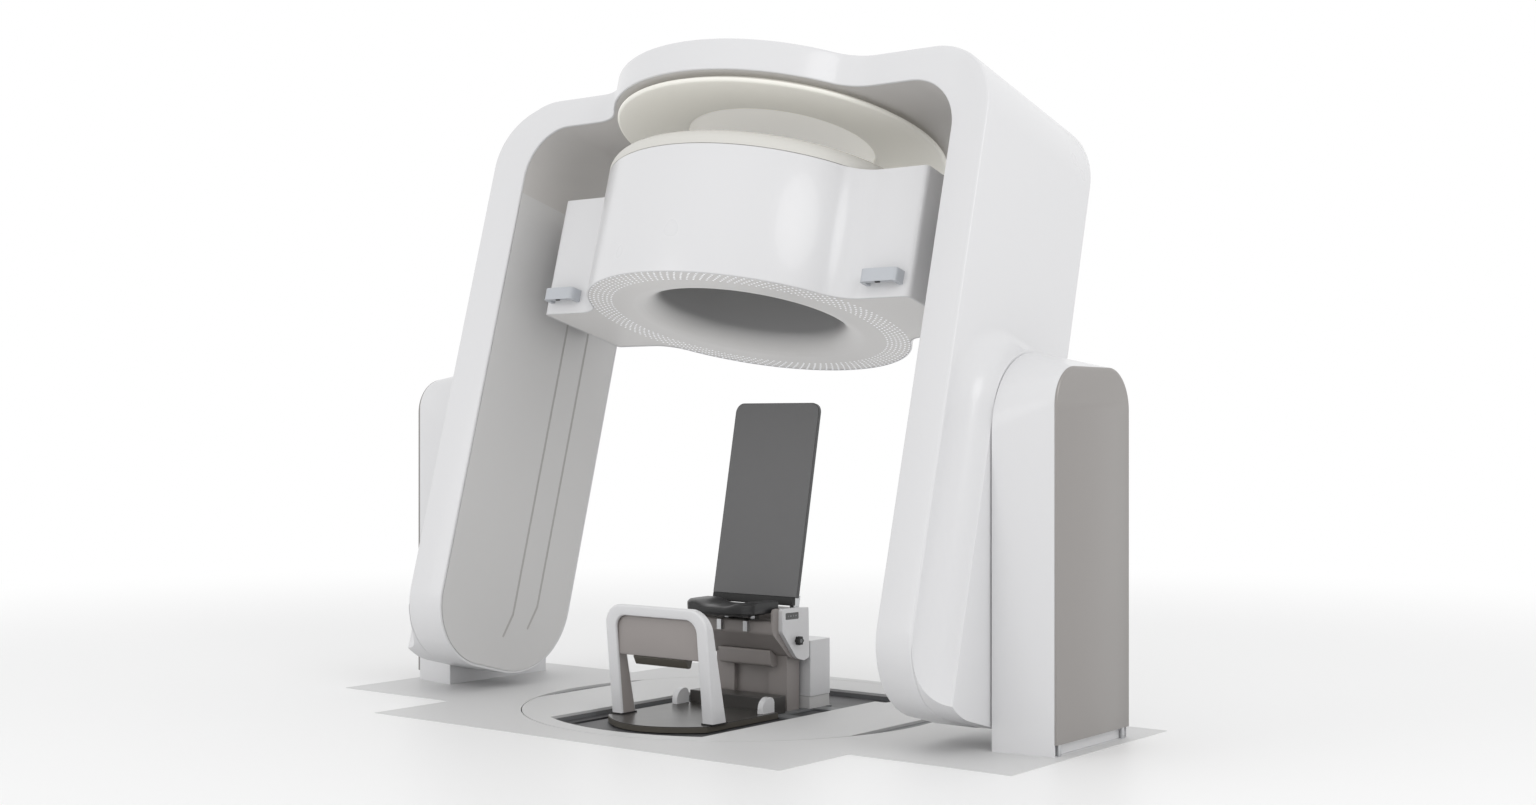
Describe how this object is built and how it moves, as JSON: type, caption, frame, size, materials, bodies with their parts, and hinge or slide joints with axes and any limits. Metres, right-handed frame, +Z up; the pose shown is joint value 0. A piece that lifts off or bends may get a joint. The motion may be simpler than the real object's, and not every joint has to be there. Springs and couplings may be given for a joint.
{
  "type": "upright ct scanner",
  "caption": "Upright CT scanner: a tilting portal carries a lifting ring with an inner rotor over a patient chair on a sunk turntable.",
  "frame": {"origin": "under the middle of the turntable, on the underside of the sunk base frame", "axes": "+Z up, X from pedestal to pedestal, the open front with the grab bars and the footplate faces -Y"},
  "size_m": [3.712, 2.3131, 3.102],
  "materials": {
    "steel_frame": "satin",
    "bright_steel": "satin",
    "alloy": "satin",
    "motor_black": "satin",
    "white_shell": "gloss",
    "liner_grey": "matte",
    "cover_grey": "satin metallic",
    "ivory": "translucent",
    "bore_grey": "satin",
    "bar_grey": "satin",
    "button_black": "satin",
    "tube_lead": "matte",
    "detector_black": "satin",
    "floor_grey": "matte",
    "deck_dark": "satin",
    "smoked_gloss": "gloss",
    "taupe": "satin",
    "display_glass": "gloss",
    "seat_black": "satin",
    "back_black": "satin"
  },
  "bodies": {
    "root": {"base_frame": "steel_frame", "floor_plate": "floor_grey", "slewing_race_outer": "bright_steel", "slew_motor": "motor_black", "pedestal_bodies": "white_shell", "pedestal_covers": "cover_grey", "pedestal_posts": "steel_frame", "tilt_bearings": "bright_steel", "tilt_drives": "motor_black", "levelling_feet": "alloy"},
    "portal": {"leg_shells": "white_shell", "leg_liners": "liner_grey", "pivot_fairings": "white_shell", "pivot_shafts": "bright_steel", "canopy_shell": "white_shell", "canopy_liner": "liner_grey", "ceiling_light": "ivory", "portal_frame": "steel_frame", "guide_rails": "bright_steel", "lift_motors": "motor_black"},
    "screw_left": {"lift_screw_left": "bright_steel"},
    "screw_right": {"lift_screw_right": "bright_steel"},
    "ring": {"ring_shell": "white_shell", "ring_bottom_cover": "liner_grey", "bore_liner": "bore_grey", "ring_top_cover": "ivory", "ring_chassis": "steel_frame", "ring_race_outer": "bright_steel", "carriage_arms": "alloy", "guide_shoes": "bright_steel", "grab_bars": "bar_grey"},
    "button_left": {"grab_button_left": "button_black"},
    "button_right": {"grab_button_right": "button_black"},
    "rotor": {"rotor_drum": "alloy", "xray_source": "tube_lead", "detector": "detector_black", "power_units": "motor_black"},
    "turntable": {"turntable_plate": "floor_grey", "turntable_frame": "steel_frame", "pit_deck": "deck_dark", "slewing_race_inner": "bright_steel"},
    "chair": {"chair_chassis": "steel_frame", "footplate": "smoked_gloss", "heel_stops": "white_shell", "column_outer": "taupe", "rear_box": "white_shell"},
    "chair_body": {"seat_beam": "taupe", "side_covers": "white_shell", "displays": "display_glass", "column_inner": "bright_steel", "seat_brackets": "bright_steel", "back_brackets": "bright_steel"},
    "seat": {"seat_base": "seat_black", "seat_pan": "seat_black"},
    "back": {"back_panel": "back_black", "back_carrier": "back_black"},
    "knob_left": {"lock_knob_left": "button_black"},
    "knob_right": {"lock_knob_right": "button_black"},
    "shin_rest": {"shin_frame": "white_shell", "shin_pad": "taupe"}
  },
  "joints": [
    {"name": "portal_tilt", "type": "hinge", "parent": "root", "child": "portal", "pos_m": [0, 0, 1.4], "axis": [1, 0, 0], "range_deg": [-5, 15]},
    {"name": "ring_lift", "type": "slide", "parent": "portal", "child": "ring", "axis": [0, -0.2588, -0.9659], "range_m": [-0.1, 0.7]},
    {"name": "screw_turn_left", "type": "hinge", "parent": "portal", "child": "screw_left", "pos_m": [-1.301, 0.1048, 1.37192], "axis": [0, 0.2588, 0.9659], "range_deg": [-1500, 10200]},
    {"name": "screw_turn_right", "type": "hinge", "parent": "portal", "child": "screw_right", "pos_m": [1.301, 0.1048, 1.37192], "axis": [0, 0.2588, 0.9659], "range_deg": [-1500, 10200]},
    {"name": "button_press_left", "type": "slide", "parent": "ring", "child": "button_left", "axis": [0, 0.2588, 0.9659], "range_m": [0, 0.003], "stiffness_N_per_m": 400},
    {"name": "button_press_right", "type": "slide", "parent": "ring", "child": "button_right", "axis": [0, 0.2588, 0.9659], "range_m": [0, 0.003], "stiffness_N_per_m": 400},
    {"name": "rotor_spin", "type": "hinge", "parent": "ring", "child": "rotor", "pos_m": [0, 0.15548, 2.1348], "axis": [0, 0.2588, 0.9659], "continuous": true},
    {"name": "turntable_turn", "type": "hinge", "parent": "root", "child": "turntable", "pos_m": [0, 0, 0.13], "axis": [0, 0, 1], "continuous": true},
    {"name": "chair_slide", "type": "slide", "parent": "turntable", "child": "chair", "axis": [0, -1, 0], "range_m": [-0.12, 0.1]},
    {"name": "chair_lift", "type": "slide", "parent": "chair", "child": "chair_body", "axis": [0, 0, 1], "range_m": [0, 0.25]},
    {"name": "seat_tilt", "type": "hinge", "parent": "chair_body", "child": "seat", "pos_m": [0, 0.034, 0.562], "axis": [1, 0, 0], "range_deg": [0, 12]},
    {"name": "back_recline", "type": "hinge", "parent": "chair_body", "child": "back", "pos_m": [0, 0.15265, 0.62135], "axis": [1, 0, 0], "range_deg": [-5, 10]},
    {"name": "knob_turn_left", "type": "hinge", "parent": "chair_body", "child": "knob_left", "pos_m": [-0.25, 0.123, 0.45], "axis": [-1, 0, 0], "range_deg": [0, 90]},
    {"name": "knob_turn_right", "type": "hinge", "parent": "chair_body", "child": "knob_right", "pos_m": [0.25, 0.123, 0.45], "axis": [1, 0, 0], "range_deg": [0, 90]},
    {"name": "shin_slide", "type": "slide", "parent": "chair", "child": "shin_rest", "axis": [0, 1, 0], "range_m": [0, 0.12]}
  ],
  "couplings": [
    {"joint": "screw_turn_left", "follows": "ring_lift", "rad_per_m": 251.33},
    {"joint": "screw_turn_right", "follows": "ring_lift", "rad_per_m": 251.33}
  ]
}
